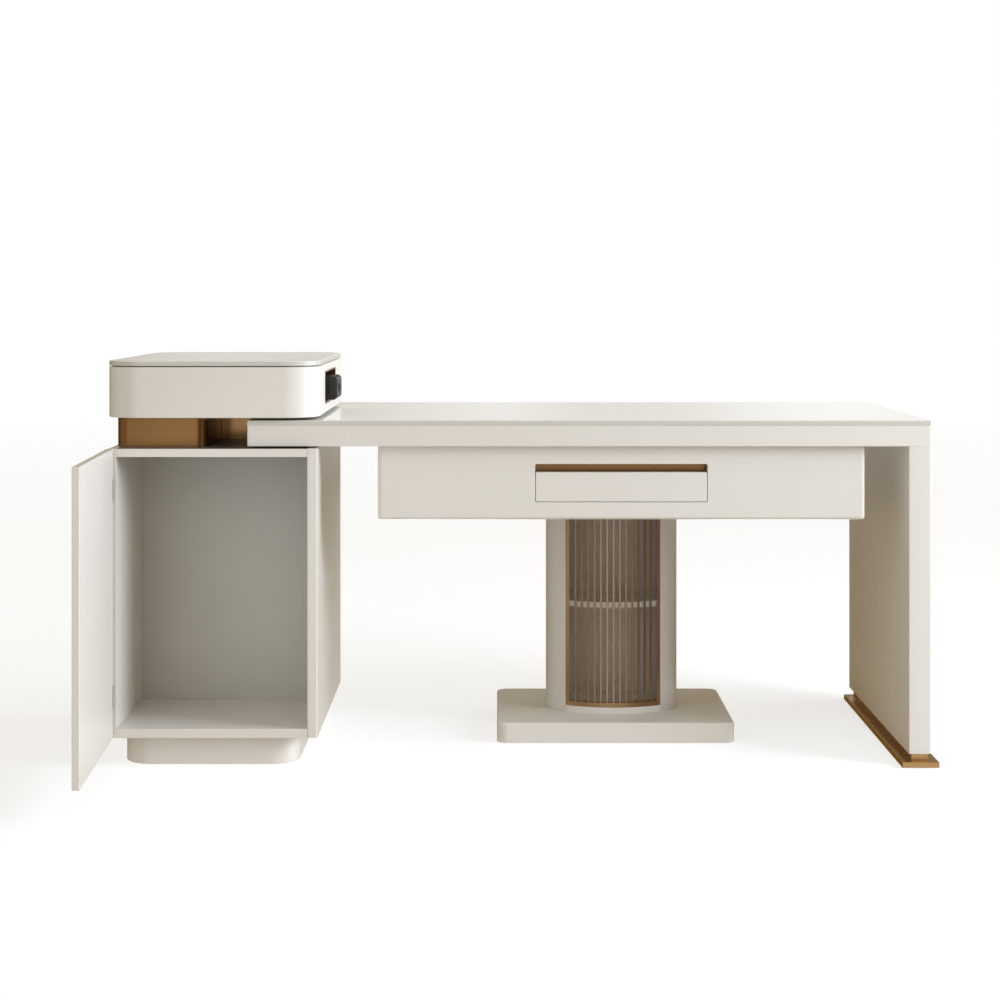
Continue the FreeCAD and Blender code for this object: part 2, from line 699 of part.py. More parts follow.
def plinth():
    x = (f"{CABINET_LEFT} + plinth_inset_left", "-cabinet_right - plinth_inset_right")
    y = ("plinth_setback - cabinet_reach", "plinth_setback - cabinet_reach + plinth_depth")
    keep(rounded_ring("plinth", x, y, ("foot_thick", "cabinet_bottom"), "plinth_corner", "plinth_wall"),
         "cabinet_plinth")
    feet = []
    for side, foot_x in (("left", f"{x[0]} + foot_radius + 2"), ("right", f"{x[1]} - foot_radius - 2")):
        for end, share in (("front", 0.2), ("rear", 0.8)):
            feet.append(cylinder(f"plinth_foot_{side}_{end}", "foot_radius", "foot_thick", foot_x,
                                 f"({y[0]}) + plinth_depth * {share}", "0"))
    keep(group("plinth_feet", feet), "plinth_glides")


def spacer():
    z = ("cabinet_top", "box_bottom")
    keep(rounded_ring("spacer", SPACER_X, SPACER_Y, z, "spacer_corner", "spacer_wall"), "spacer_box")
    block_x = (SPACER_X[1], "-desk_left - block_gap")
    soft = [(lambda edge: upright(edge) and edge.BoundBox.YMax < 0.01 and edge.BoundBox.XMin > 1,
             "block_round")]
    keep(panel("rear_block", block_x, ("-block_reach", f"{SPACER_Y[1]} - spacer_corner"), z, soft),
         "spacer_rear_block")


def upper_box():
    z = ("box_bottom", "box_top")
    wall = rounded_ring("box_wall", BOX_X, BOX_Y, z, "box_corner", "box_wall")
    niche = box("niche_cut", ("-cabinet_right - box_wall - 1", "-cabinet_right + 1"),
                ("-niche_front", "niche_back"), ("niche_bottom", "niche_top"))
    gland_hole = gland_bar("gland_hole", "gland_neck", "box_wall + 2", f"{BOX_Y[1]} - box_wall - 1")
    keep(cut("box_wall_cut", wall, fuse("box_wall_cuts", [niche, gland_hole])), "upper_box_wall")
    inner_x = (f"{BOX_X[0]} + box_wall", f"{BOX_X[1]} - box_wall")
    inner_y = (f"{BOX_Y[0]} + box_wall", f"{BOX_Y[1]} - box_wall")
    keep(rounded_block("box_floor", inner_x, inner_y, ("box_bottom", "box_bottom + box_board"),
                       "box_corner - box_wall"), "upper_box_floor")
    keep(rounded_block("box_lid", inner_x, inner_y, (f"{GLASS_BOTTOM} - box_board", GLASS_BOTTOM),
                       "box_corner - box_wall"), "upper_box_top_panel")
    rounds = [(upright, "box_corner"), (on_top, "edge_round")]
    keep(panel("box_glass", BOX_X, BOX_Y, (GLASS_BOTTOM, f"{GLASS_BOTTOM} + box_glass"), rounds),
         "upper_box_glass")
    niche_liner()
    flange = gland_bar("gland_flange", "gland_radius", "gland_flange", BOX_Y[1])
    neck = gland_bar("gland_neck", "gland_neck", "box_wall", f"{BOX_Y[1]} - box_wall")
    bore = gland_bar("gland_bore", "gland_bore", "box_wall + gland_flange + 2",
                     f"{BOX_Y[1]} - box_wall - 1")
    keep(cut("gland", fuse("gland_body", [flange, neck]), bore), "cable_gland")


def gland_bar(name, radius, length, y):
    """A round bar along +Y at the cable gland."""
    return cylinder(name, radius, length, f"{CABINET_LEFT} + gland_left", y, "gland_height",
                    Vector(0, 1, 0))


def niche_liner():
    """A sheet tray in the niche, open towards +X, with two ribs that guide the power module."""
    x = ("-cabinet_right - niche_depth", "-cabinet_right")
    y = ("-niche_front", "niche_back")
    z = ("niche_bottom", "niche_top")
    block = box("liner_block", x, y, z)
    hollow = box("liner_hollow", (f"{x[0]} + liner_sheet", f"{x[1]} + 1"),
                 (f"{y[0]} + liner_sheet", f"{y[1]} - liner_sheet"),
                 (f"{z[0]} + liner_sheet", f"{z[1]} - liner_sheet"))
    ribs = []
    for side, sign in (("front", -1), ("rear", 1)):
        near = "module_length / 2 + module_play"
        span = mirrored(sign, near, f"{near} + rib_thick")
        centre = "(niche_back - niche_front) / 2"
        ribs.append(box(f"liner_rib_{side}", x, (f"{centre} + {span[0]}", f"{centre} + {span[1]}"),
                        (z[0], f"{z[0]} + liner_sheet + rib_tall")))
    keep(fuse("liner", [cut("liner_tray", block, hollow)] + ribs), "niche_liner")


def power_module():
    x = ("module_out - cabinet_right - module_deep", "module_out - cabinet_right")
    centre = "(niche_back - niche_front) / 2"
    y = (f"{centre} - module_length / 2", f"{centre} + module_length / 2")
    bottom = "niche_bottom + liner_sheet + module_play"
    z = (bottom, f"{bottom} + module_tall")
    deep = DIMENSIONS["module_deep"]
    shoulders = [(lambda edge: along(edge, 1) and edge.BoundBox.XMin > deep - 1, "module_corner")]
    block = panel("module_block", x, y, z, shoulders)
    middle = f"{bottom} + module_tall / 2"
    recess = ((f"{x[1]} - socket_deep", f"{x[1]}"),
              (f"{centre} - socket_width / 2", f"{centre} + socket_width / 2"),
              (f"{middle} - socket_tall / 2", f"{middle} + socket_tall / 2"))
    pocket = box("module_pocket", (recess[0][0], f"{x[1]} + 1"), recess[1], recess[2])
    keep(cut("module_shell", block, pocket), "module_housing")
    keep(box("socket_plate", *recess), "module_socket_face")


def extension_guide():
    """Channels in the desktop's underside, and keys on the cabinet that run in them."""
    tracks = []
    keys = []
    for row, y in GUIDE_ROWS.items():
        x = ("-track_left", "track_length - track_left")
        z = ("desk_underside", "desk_underside + track_tall")
        block = box(f"track_{row}_block", x, (f"{y} - track_width / 2", f"{y} + track_width / 2"), z)
        inside_x = (f"{x[0]} + track_wall", f"{x[1]} - track_wall")
        hollow = box(f"track_{row}_hollow", inside_x,
                     (f"{y} - track_width / 2 + track_wall", f"{y} + track_width / 2 - track_wall"),
                     (f"{z[0]} + track_wall", f"{z[1]} - track_wall"))
        slot = box(f"track_{row}_slot", inside_x, (f"{y} - track_slot / 2", f"{y} + track_slot / 2"),
                   (f"{z[0]} - 1", f"{z[0]} + track_wall + 1"))
        tracks.append(cut(f"track_{row}", block, fuse(f"track_{row}_space", [hollow, slot])))
        key_x = ("-key_centre - key_length / 2", "-key_centre + key_length / 2")
        base = box(f"key_{row}_base", key_x, (f"{y} - key_base_width / 2", f"{y} + key_base_width / 2"),
                   ("cabinet_top", "cabinet_top + key_base_thick"))
        stem = box(f"key_{row}_stem", key_x, (f"{y} - key_stem / 2", f"{y} + key_stem / 2"),
                   ("cabinet_top", "cabinet_top + key_rise"))
        head = box(f"key_{row}_head", key_x, (f"{y} - key_head / 2", f"{y} + key_head / 2"),
                   ("cabinet_top + key_rise", "cabinet_top + key_rise + key_head_tall"))
        keys.append(fuse(f"key_{row}", [base, stem, head]))
    keep(group("tracks", tracks), "extension_tracks")
    keep(group("keys", keys), "extension_keys")
    strip_x = ("-key_centre - strip_width / 2", "-key_centre + strip_width / 2")
    strip_z = ("cabinet_top", "cabinet_top + strip_tall")
    front = GUIDE_ROWS["front"]
    rear = GUIDE_ROWS["rear"]
    strips = [
        box("strip_front", strip_x, ("spacer_setback - cabinet_reach", f"{front} - key_base_width"), strip_z),
        box("strip_middle", strip_x, (f"{front} + key_base_width", f"{rear} - key_base_width"), strip_z)]
    keep(group("strips", strips), "glide_strips")


# --- door ------------------------------------------------------------------------------------------
# The door and its hinge sockets are drawn about the hinge axis with the door shut, then turned open.

HINGE_LEVELS = {"lower": "hinge_low", "upper": "hinge_high"}
PIN_STUD_RISE = "barrel_tall / 2"
SOCKET_RISE = "1 + barrel_tall + barrel_gap"
PIN_RISE = "1 + barrel_tall"


def carcass_studs(name):
    """The studs that hold the hinge pins in the cabinet's left front edge."""
    return [
        cylinder(f"{name}_{level}", "stud_radius", "door_gap + door_thick / 2 + stud_bite", AXIS_X, AXIS_Y,
                 f"{low} + {PIN_STUD_RISE}", Vector(0, 1, 0))
        for level, low in HINGE_LEVELS.items()]


def hinge_pins():
    finished = []
    for (level, low), stud in zip(HINGE_LEVELS.items(), carcass_studs("pin_stud")):
        barrel = cylinder(f"pin_barrel_{level}", "barrel_radius", "barrel_tall", AXIS_X, AXIS_Y,
                          f"{low} + 1")
        pin = cylinder(f"pin_{level}", "pin_radius", "pin_tall", AXIS_X, AXIS_Y, f"{low} + {PIN_RISE}")
        finished.append(fuse(f"hinge_pin_{level}", [barrel, pin, stud]))
    keep(group("hinge_pin_group", finished), "door_hinge_pins")


def turned_open(thing):
    """Put something drawn about the hinge axis in its place, with the door open."""
    thing.Placement = Placement(Vector(), Rotation(Vector(0, 0, 1), -DIMENSIONS["door_angle"]))
    bind(thing, Placement__Base__x=AXIS_X, Placement__Base__y=AXIS_Y)
    return thing


def socket_studs(name):
    return [
        cylinder(f"{name}_{level}", "stud_radius", "notch_reach - axis_inset + stud_bite", "0", "0",
                 f"{low} + {SOCKET_RISE} + barrel_tall / 2", Vector(1, 0, 0))
        for level, low in HINGE_LEVELS.items()]


def door():
    x = ("-axis_inset", "door_width - axis_inset")
    y = ("-door_thick / 2", "door_thick / 2")
    z = ("cabinet_bottom", "cabinet_top")
    board = panel("door_board", x, y, z, [(lambda edge: True, "door_round")])
    notches = [
        box(f"hinge_notch_{level}", (f"{x[0]} - 1", f"{x[0]} + notch_reach"),
            (f"{y[0]} + notch_skin", f"{y[1]} + 1"), (low, f"{low} + notch_tall"))
        for level, low in HINGE_LEVELS.items()]
    cuts = fuse("door_cuts", notches + socket_studs("socket_stud_hole"))
    keep(turned_open(cut("door", board, cuts)), "door_panel")
    sockets = []
    for (level, low), stud in zip(HINGE_LEVELS.items(), socket_studs("socket_stud")):
        base = f"{low} + {SOCKET_RISE}"
        barrel = cylinder(f"socket_barrel_{level}", "barrel_radius", "barrel_tall", "0", "0", base)
        bore = cylinder(f"socket_bore_{level}", "pin_radius + pin_play", "pin_tall + 1", "0", "0",
                        f"{base} - 1")
        sockets.append(cut(f"socket_{level}", fuse(f"socket_body_{level}", [barrel, stud]), bore))
    keep(turned_open(group("socket_group", sockets)), "door_hinge_sockets")
    bumpers = [
        cylinder(f"bumper_{level}", "bumper_radius", "bumper_thick", f"{x[1]} - bumper_inset", y[1],
                 height, Vector(0, 1, 0))
        for level, height in (("lower", f"{z[0]} + bottom_board"), ("upper", f"{z[1]} - top_board"))]
    keep(turned_open(group("bumper_group", bumpers)), "door_bumpers")


# --- build, check and write ------------------------------------------------------------------------

desktop()
leg()
apron()
drawer()
pedestal()
column()
bolts()
carcass()
plinth()
spacer()
upper_box()
power_module()
extension_guide()
hinge_pins()
door()
doc.recompute()

for thing in doc.Objects:
    if "Invalid" in thing.State or "Error" in thing.State:
        raise SystemExit(f"{thing.Name} ({thing.Label}) failed: {thing.State}")
for subpart in subparts:
    if subpart.Shape.isNull() or not subpart.Shape.isValid() or not subpart.Shape.Solids:
        raise SystemExit(f"{subpart.Label} has no valid solid")

os.makedirs("parts", exist_ok=True)
for subpart in subparts:
    subpart.Shape.exportStep(os.path.join("parts", subpart.Label + ".step"))
    size = subpart.Shape.BoundBox
    print(f"{subpart.Label:24s} solids {len(subpart.Shape.Solids):2d}  "
          f"x {size.XMin:8.1f} {size.XMax:8.1f}  y {size.YMin:7.1f} {size.YMax:7.1f}  "
          f"z {size.ZMin:6.1f} {size.ZMax:6.1f}")
print(len(subparts), "sub-parts")
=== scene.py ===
import json
import math

import bmesh
import bpy
from mathutils import Matrix, Vector


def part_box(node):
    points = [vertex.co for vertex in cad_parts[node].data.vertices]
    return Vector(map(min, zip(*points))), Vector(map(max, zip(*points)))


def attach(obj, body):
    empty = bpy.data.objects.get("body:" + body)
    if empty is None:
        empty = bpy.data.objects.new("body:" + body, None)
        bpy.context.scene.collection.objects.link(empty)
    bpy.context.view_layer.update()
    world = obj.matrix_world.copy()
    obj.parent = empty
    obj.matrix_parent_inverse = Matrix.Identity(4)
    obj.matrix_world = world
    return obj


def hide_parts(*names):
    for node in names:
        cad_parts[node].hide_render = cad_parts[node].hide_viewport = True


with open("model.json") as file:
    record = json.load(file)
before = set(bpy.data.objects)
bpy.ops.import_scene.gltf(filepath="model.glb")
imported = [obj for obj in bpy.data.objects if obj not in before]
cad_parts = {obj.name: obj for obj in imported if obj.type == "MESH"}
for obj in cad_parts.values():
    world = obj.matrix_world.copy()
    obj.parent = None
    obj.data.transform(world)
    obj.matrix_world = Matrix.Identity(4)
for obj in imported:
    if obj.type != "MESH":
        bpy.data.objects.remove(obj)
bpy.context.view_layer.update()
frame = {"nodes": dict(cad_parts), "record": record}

NODES = frame["nodes"]
BODY_OF = {node: body for body, nodes in frame["record"]["behaviour"]["bodies"].items() for node in nodes}
SLOT_OF = {row["node"]: row["material_slot"] for row in frame["record"]["subparts"]}
MM = 0.001
SHARP = math.radians(30)
BACKWARD = Vector((0, 1, 0))


# --- materials -------------------------------------------------------------------------------------

class Shader:
    """A material's node tree, with short calls to add and wire nodes."""

    def __init__(self, name):
        self.material = bpy.data.materials.new(name)
        self.material.use_nodes = True
        self.tree = self.material.node_tree
        self.surface = self.tree.nodes["Principled BSDF"]
        self.place = self.node("ShaderNodeTexCoord").outputs["Object"]

    def node(self, kind, **settings):
        made = self.tree.nodes.new(kind)
        for key, value in settings.items():
            setattr(made, key, value)
        return made

    def wire(self, source, target):
        self.tree.links.new(source, target)

    def set(self, **values):
        """Constant values on the shader's own sockets."""
        for name, value in values.items():
            self.surface.inputs[name.replace("_", " ")].default_value = value

    def noise(self, scale, stretch=(1, 1, 1), detail=3.0, roughness=0.5):
        """Noise over the object, with its scale multiplied along each axis."""
        mapping = self.node("ShaderNodeMapping")
        mapping.inputs["Scale"].default_value = stretch
        self.wire(self.place, mapping.inputs["Vector"])
        texture = self.node("ShaderNodeTexNoise")
        texture.inputs["Scale"].default_value = scale
        texture.inputs["Detail"].default_value = detail
        texture.inputs["Roughness"].default_value = roughness
        self.wire(mapping.outputs["Vector"], texture.inputs["Vector"])
        return texture.outputs["Fac"]

    def span(self, value, low, high, start=0.3, end=0.7):
        """A value spread between two numbers."""
        spread = self.node("ShaderNodeMapRange")
        spread.inputs["From Min"].default_value = start
        spread.inputs["From Max"].default_value = end
        spread.inputs["To Min"].default_value = low
        spread.inputs["To Max"].default_value = high
        self.wire(value, spread.inputs["Value"])
        return spread.outputs["Result"]

    def mix(self, factor, first, second):
        """A blend of two colours, each a socket or a plain colour."""
        blend = self.node("ShaderNodeMix", data_type="RGBA")
        sockets = {socket.name: socket for socket in blend.inputs if socket.enabled}
        for name, colour in (("A", first), ("B", second)):
            if isinstance(colour, tuple):
                sockets[name].default_value = (*colour, 1)
            else:
                self.wire(colour, sockets[name])
        self.wire(factor, sockets["Factor"])
        return next(socket for socket in blend.outputs if socket.enabled)

    def bump(self, height, distance):
        bump = self.node("ShaderNodeBump")
        bump.inputs["Distance"].default_value = distance
        self.wire(height, bump.inputs["Height"])
        return bump.outputs["Normal"]

    def facing_up(self):
        """1 on level faces and 0 on upright ones."""
        parts = self.node("ShaderNodeSeparateXYZ")
        self.wire(self.node("ShaderNodeTexCoord").outputs["Normal"], parts.inputs["Vector"])
        size = self.node("ShaderNodeMath", operation="ABSOLUTE")
        self.wire(parts.outputs["Z"], size.inputs[0])
        return self.span(size.outputs["Value"], 0.0, 1.0, 0.45, 0.8)

    def fade_out(self, near, far):
        """Let the surface thin out to nothing between two distances from its middle."""
        reach = self.node("ShaderNodeVectorMath", operation="LENGTH")
        self.wire(self.place, reach.inputs[0])
        self.wire(self.span(reach.outputs["Value"], 1.0, 0.0, near, far), self.surface.inputs["Alpha"])

    def finish(self, colour, roughness, normal=None):
        for name, source in (("Base Color", colour), ("Roughness", roughness), ("Normal", normal)):
            if source is not None:
                self.wire(source, self.surface.inputs[name])
        return self.material


def lacquer(name, light, shade):
    """Satin lacquer on fibreboard: faint clouding, a slow spray ripple and a soft sheen."""
    shader = Shader(name)
    cloud = shader.noise(2.2)
    ripple = shader.noise(38.0, detail=2.0)
    shader.set(IOR=1.48)
    return shader.finish(shader.mix(shader.span(cloud, 0.0, 1.0), shade, light),
                         shader.span(shader.noise(14.0), 0.30, 0.38),
                         shader.bump(ripple, 0.00006))


def capped_lacquer(name, light, shade, cap):
    """The same lacquer on a board whose upper face is covered with a dark sliding laminate."""
    shader = Shader(name)
    side = shader.mix(shader.span(shader.noise(2.2), 0.0, 1.0), shade, light)
    thread = shader.noise(190.0, stretch=(1, 5, 1))
    shader.set(IOR=1.48)
    return shader.finish(shader.mix(shader.facing_up(), side, cap),
                         shader.span(thread, 0.32, 0.42), shader.bump(thread, 0.00003))


def laminate(name, light, shade):
    """Smooth matt laminate with a fine linen tooth."""
    shader = Shader(name)
    thread = shader.noise(190.0, stretch=(1, 1, 5))
    cloud = shader.noise(3.5)
    return shader.finish(shader.mix(shader.span(cloud, 0.0, 1.0), shade, light),
                         shader.span(thread, 0.36, 0.48), shader.bump(thread, 0.00004))


def backed_glass(name, light, shade, edge):
    """Polished glass over a pale lacquered backing, with a deeper tone in its edges."""
    shader = Shader(name)
    face = shader.mix(shader.span(shader.noise(1.6), 0.0, 1.0), shade, light)
    smear = shader.noise(9.0, stretch=(1, 3, 1), detail=5.0)
    shader.set(IOR=1.5)
    return shader.finish(shader.mix(shader.facing_up(), edge, face), shader.span(smear, 0.03, 0.09))


def brushed_metal(name, light, shade, along, rough=(0.27, 0.37)):
    """Metal with hairlines along one axis: 0, 1 or 2 for X, Y or Z."""
    shader = Shader(name)
    stretch = [1.0, 1.0, 1.0]
    stretch[along] = 0.02
    hairline = shader.noise(900.0, stretch=stretch, detail=4.0, roughness=0.65)
    band = shader.noise(60.0, stretch=stretch, detail=3.0)
    cloud = shader.noise(6.0)
    tone = shader.mix(shader.span(hairline, 0.0, 1.0), shade, light)
    shader.set(Metallic=1.0)
    return shader.finish(shader.mix(shader.span(band, 0.0, 0.5), tone, light),
                         shader.span(cloud, *rough), shader.bump(hairline, 0.00002))


def moulded_plastic(name, light, shade, rough=(0.38, 0.5), grain=420.0, depth=0.00004):
    """Moulded plastic with a spark-eroded texture."""
    shader = Shader(name)
    pits = shader.noise(grain, detail=2.0)
    return shader.finish(shader.mix(shader.span(shader.noise(25.0), 0.0, 1.0), shade, light),
                         shader.span(pits, *rough), shader.bump(pits, depth))


def bare_wood(name, light, shade):
    """Straight-grained beech, with the grain along X."""
    shader = Shader(name)
    grain = shader.noise(220.0, stretch=(0.06, 1, 1), detail=5.0)
    return shader.finish(shader.mix(shader.span(grain, 0.0, 1.0), shade, light),
                         shader.span(grain, 0.5, 0.7), shader.bump(grain, 0.0001))


CREAM = ((0.795, 0.765, 0.722), (0.780, 0.749, 0.705))
MATERIALS = {
    "cream_lacquer": lacquer("cream_lacquer", *CREAM),
    "inner_laminate": laminate("inner_laminate", (0.58, 0.565, 0.52), (0.55, 0.535, 0.49)),
    # Cream lacquer darkened: painted shade for the column's walls and back, which are the same cream paint as
    # the desk.
    "column_shaded_lacquer": lacquer("column_shaded_lacquer", (0.70, 0.67, 0.63), (0.685, 0.655, 0.615)),
    "capped_lacquer": capped_lacquer("capped_lacquer", *CREAM, (0.16, 0.135, 0.11)),
    # A laminate paler than the cream the shelf really is: painted light, so the shelf's edge shows lit behind
    # the bars.
    "shelf_painted_light_laminate": laminate("shelf_painted_light_laminate", (0.90, 0.89, 0.86), (0.87, 0.86, 0.83)),
    "top_glass": backed_glass("top_glass", (0.88, 0.865, 0.83), (0.86, 0.845, 0.81), (0.62, 0.605, 0.555)),
    "bronze_sheet": brushed_metal("bronze_sheet", (0.29, 0.157, 0.062), (0.25, 0.133, 0.052), 0),
    "bronze_upright": brushed_metal("bronze_upright", (0.40, 0.255, 0.14), (0.34, 0.215, 0.115), 2),
    "bronze_polished": brushed_metal("bronze_polished", (0.27, 0.16, 0.07), (0.23, 0.135, 0.058), 2,
                                     (0.10, 0.15)),
    "bronze_plate": brushed_metal("bronze_plate", (0.56, 0.35, 0.165), (0.48, 0.295, 0.135), 1, (0.22, 0.3)),
    "steel_hardware": brushed_metal("steel_hardware", (0.66, 0.66, 0.67), (0.58, 0.58, 0.60), 1),
    "track_aluminium": brushed_metal("track_aluminium", (0.80, 0.80, 0.81), (0.72, 0.72, 0.74), 0),
    "black_plastic": moulded_plastic("black_plastic", (0.034, 0.034, 0.033), (0.024, 0.024, 0.024)),
    "beech": bare_wood("beech", (0.62, 0.43, 0.25), (0.50, 0.33, 0.18)),
    "felt_grey_rubber": moulded_plastic("felt_grey_rubber", (0.11, 0.105, 0.10), (0.075, 0.072, 0.07),
                                        (0.75, 0.9), 260.0, 0.00012),
    "slip_plastic": moulded_plastic("slip_plastic", (0.84, 0.84, 0.82), (0.80, 0.80, 0.78), (0.28, 0.36)),
}
# The record's slot for each finish that isn't a slot itself, and the nodes that such a finish is on.
FINISH_OF = {
    "grille_frame": "bronze_upright", "grille_bars": "bronze_upright", "spacer_rear_block": "bronze_polished",
    # The column's shelf takes the paler laminate, which paints light onto it.
    "cabinet_top_panel": "capped_lacquer", "column_shelf": "shelf_painted_light_laminate",
    # The column's walls and back take the darkened cream lacquer, a painted shade.
    "column_wall_left": "column_shaded_lacquer", "column_wall_right": "column_shaded_lacquer",
    "column_back": "column_shaded_lacquer",
}


def paint(thing, material):
    thing.data.materials.clear()
    thing.data.materials.append(MATERIALS[material])


def finish_of(node):
    return FINISH_OF.get(node, SLOT_OF[node])


# --- piece helpers ---------------------------------------------------------------------------------

def new_object(name, mesh):
    thing = bpy.data.objects.new(name, mesh)
    bpy.context.scene.collection.objects.link(thing)
    return thing


def make_piece(thing, body, material, stands_for=()):
    """Finish an object as a piece that rides on a body."""
    paint(thing, material)
    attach(thing, body)
    if stands_for:
        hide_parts(*stands_for)


def mesh_from(name, build):
    """A mesh made by a function that fills a bmesh."""
    shape = bmesh.new()
    build(shape)
    bmesh.ops.recalc_face_normals(shape, faces=shape.faces)
    mesh = bpy.data.meshes.new(name)
    shape.to_mesh(mesh)
    shape.free()
    return mesh


def clean_copy(node, name):
    """A node's shape with its flat faces whole again, ready for edge work."""
    same_point = 0.002 * MM
    same_plane = math.radians(0.5)
    source = NODES[node].data.copy()
    source.attributes.remove(source.attributes["custom_normal"])

    def build(shape):
        shape.from_mesh(source)
        bmesh.ops.remove_doubles(shape, verts=shape.verts, dist=same_point)
        bmesh.ops.dissolve_limit(shape, angle_limit=same_plane, verts=shape.verts, edges=shape.edges)

    mesh = mesh_from(name, build)
    bpy.data.meshes.remove(source)
    return mesh


def add_block(shape, low, high):
    """A plain block between two corners, for cutters and for shapes that are rounded later."""
    made = bmesh.ops.create_cube(shape, size=1.0)["verts"]
    for vertex in made:
        vertex.co = Vector(c * s for c, s in zip(vertex.co, high - low)) + (low + high) / 2


def add_rod(shape, start, end, radius, segments=40):
    """A round rod between two points."""
    run = Vector(end) - Vector(start)
    turn = run.to_track_quat("Z", "Y").to_matrix().to_4x4()
    place = Matrix.Translation((Vector(start) + Vector(end)) / 2) @ turn
    bmesh.ops.create_cone(shape, cap_ends=True, segments=segments, radius1=radius, radius2=radius,
                          depth=run.length, matrix=place)


def settle(thing):
    """Turn an object's modifiers into its final mesh."""
    graph = bpy.context.evaluated_depsgraph_get()
    ready = bpy.data.meshes.new_from_object(thing.evaluated_get(graph), preserve_all_data_layers=True,
                                            depsgraph=graph)
    thing.modifiers.clear()
    thing.data = ready


def round_over(thing, width, segments=3):
    """Round every sharp edge over, with the flat faces still shaded flat."""
    thing.data.shade_smooth()
    bevel = thing.modifiers.new("arris", "BEVEL")
    bevel.width = width
    bevel.segments = segments
    bevel.limit_method = "ANGLE"
    bevel.angle_limit = SHARP
    bevel.use_clamp_overlap = False
    bevel.harden_normals = True
    bevel.miter_outer = "MITER_ARC"
    settle(thing)


def carve(thing, name, build):
    """Cut a shape out of an object."""
    cutter = new_object(f"{name}_cutter", mesh_from(f"{name}_cutter", build))
    cut = thing.modifiers.new(name, "BOOLEAN")
    cut.operation = "DIFFERENCE"
    cut.solver = "EXACT"
    cut.object = cutter
    settle(thing)
    bpy.data.objects.remove(cutter)


# --- boards, shells and hardware from the frame ----------------------------------------------------

# The radius, in millimetres, that each piece's arrises are worked to.
ARRIS = {
    "desktop_panel": 0.9, "right_leg_panel": 0.9, "leg_base_riser": 0.6, "leg_dowels": 0.8,
    "leg_glides": 0.8, "pedestal_floor_pad": 0.6, "apron_left_side": 0.9, "apron_right_side": 0.9,
    "apron_back": 0.9, "apron_bottom": 0.6, "drawer_carrier_left": 0.6, "drawer_carrier_right": 0.6,
    "drawer_rail_left": 0.3, "drawer_rail_right": 0.3, "drawer_runner_left": 0.3,
    "drawer_runner_right": 0.3, "drawer_left_side": 0.6, "drawer_right_side": 0.6, "drawer_back": 0.6,
    "drawer_bottom": 0.4, "finger_pull_channel": 0.3, "column_wall_left": 0.7, "column_wall_right": 0.7,
    "column_back": 0.7, "column_floor": 0.6, "column_top": 0.6, "column_shelf": 0.9, "column_bolts": 0.4,
    "grille_frame": 0.8, "grille_bars": 0.7, "extension_tracks": 0.3, "extension_keys": 0.4,
    "glide_strips": 0.5, "cabinet_left_panel": 0.9, "cabinet_right_panel": 0.9, "cabinet_top_panel": 0.7,
    "cabinet_bottom_panel": 0.7, "cabinet_inner_back": 0.4, "cabinet_outer_back": 0.5,
    "cabinet_plinth": 1.6, "plinth_glides": 0.8, "spacer_box": 0.6, "spacer_rear_block": 0.6,
    "upper_box_wall": 2.0, "upper_box_floor": 0.6, "upper_box_top_panel": 0.5, "niche_liner": 0.3,
    "cable_gland": 0.5, "module_housing": 1.6, "door_hinge_pins": 0.3, "door_hinge_sockets": 0.3,
    "door_bumpers": 0.5,
}


def eased(node, radius):
    """A node remade with its arrises rounded over."""
    thing = new_object(f"{node}_eased", clean_copy(node, node))
    round_over(thing, radius * MM)
    make_piece(thing, BODY_OF[node], finish_of(node), [node])


def eased_pieces():
    for node, radius in ARRIS.items():
        eased(node, radius)


def carried_over():
    """Every CAD node gets its finish. Those whose edges are already rounded stay as they are."""
    for node, thing in NODES.items():
        paint(thing, finish_of(node))


# --- power module ----------------------------------------------------------------------------------

def power_module():
    """The pull-out block's grip ribs, and its face with two outlets and two charging ports."""
    low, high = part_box("module_housing")
    rib_count = 4
    rib_radius = 0.9 * MM
    rib_pitch = 3 * MM
    first_rib = high.x - 16 * MM
    rib_margin = 9 * MM

    def ribs(shape):
        for number in range(rib_count):
            x = first_rib - rib_pitch * number
            for y in (low.y, high.y):
                add_rod(shape, (x, y, low.z + rib_margin), (x, y, high.z - rib_margin), rib_radius, 16)

    grip = new_object("power_grip_ribs", mesh_from("power_grip_ribs", ribs))
    round_over(grip, 0.35 * MM, 2)
    make_piece(grip, "power_module", "black_plastic")

    low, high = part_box("module_socket_face")
    middle = (low + high) / 2
    face = new_object("power_face", clean_copy("module_socket_face", "power_face"))
    well = 2.2 * MM
    outlet_radius = 11.5 * MM
    outlets = [middle.y - 30 * MM, middle.y + 2 * MM]
    ports = [middle.y + 26 * MM, middle.y + 39 * MM]
    port_half = Vector((0, 3.0 * MM, 6.5 * MM))
    into_face = Vector((0.1 * MM, 0, 0))
    pin_radius = 2.4 * MM
    pin_from_middle = 4.5 * MM
    pin_proud = Vector((0.5 * MM, 0, 0))
    tongue_half = Vector((0, 1.0 * MM, 5.2 * MM))
    tongue_off_middle = 0.8 * MM
    tongue_length = Vector((1.6 * MM, 0, 0))

    def wells(shape):
        for y in outlets:
            add_rod(shape, (high.x - well, y, middle.z), (high.x + well, y, middle.z), outlet_radius)
        for y in ports:
            add_block(shape, Vector((high.x - well, y, middle.z)) - port_half,
                      Vector((high.x + well, y, middle.z)) + port_half)

    carve(face, "wells", wells)
    round_over(face, 0.4 * MM)
    make_piece(face, "power_module", "black_plastic", ["module_socket_face"])

    def pins(shape):
        for y in outlets:
            for side in (-1, 1):
                pin = Vector((high.x - well, y + side * pin_from_middle, middle.z))
                add_rod(shape, pin - into_face, pin + pin_proud, pin_radius, 24)
        for y in ports:
            tongue = Vector((high.x - well, y + tongue_off_middle, middle.z)) - into_face
            add_block(shape, tongue - tongue_half, tongue + tongue_half + tongue_length)

    contacts = new_object("power_contacts", mesh_from("power_contacts", pins))
    round_over(contacts, 0.2 * MM, 2)
    make_piece(contacts, "power_module", "steel_hardware")


# --- fixings ---------------------------------------------------------------------------------------

